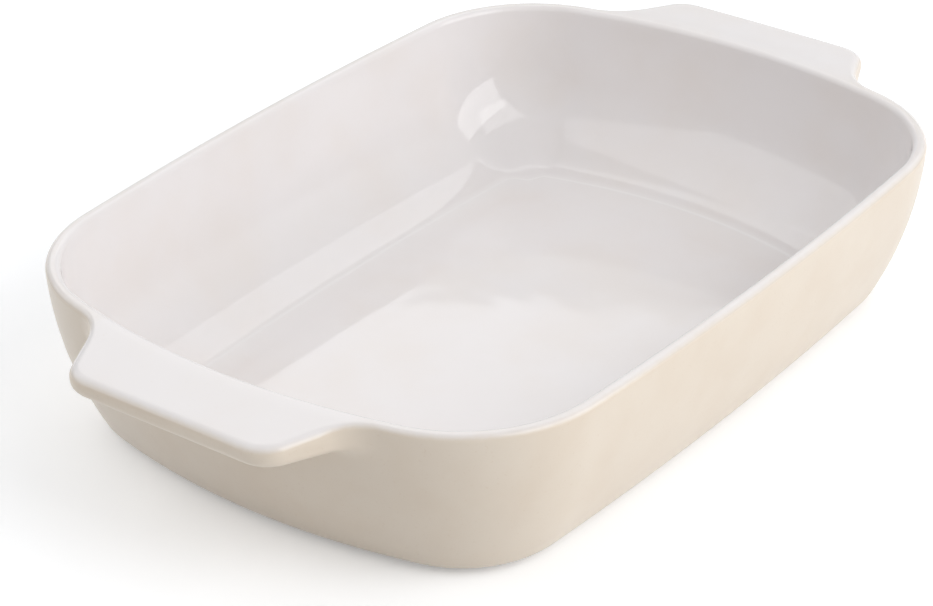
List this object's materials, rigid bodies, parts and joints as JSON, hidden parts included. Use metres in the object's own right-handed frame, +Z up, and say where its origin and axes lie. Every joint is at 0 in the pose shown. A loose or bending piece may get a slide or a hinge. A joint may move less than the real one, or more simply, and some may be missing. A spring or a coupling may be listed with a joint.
{
  "type": "lasagna dish",
  "caption": "Rectangular glazed stoneware baking dish with rounded corners, bellied walls and a flat lug handle at each short end.",
  "frame": {"origin": "on the surface that the dish stands on, under the middle of the dish", "axes": "+X along the length, from handle to handle; +Y across the width; +Z up out of the mouth"},
  "size_m": [0.4194, 0.2594, 0.0735],
  "materials": {
    "stoneware": "matte",
    "white_glaze": "gloss",
    "cream_glaze": "satin"
  },
  "bodies": {
    "root": {"stoneware_body": "stoneware", "white_glaze": "white_glaze", "cream_glaze": "cream_glaze", "cream_base_glaze": "cream_glaze"}
  },
  "joints": []
}
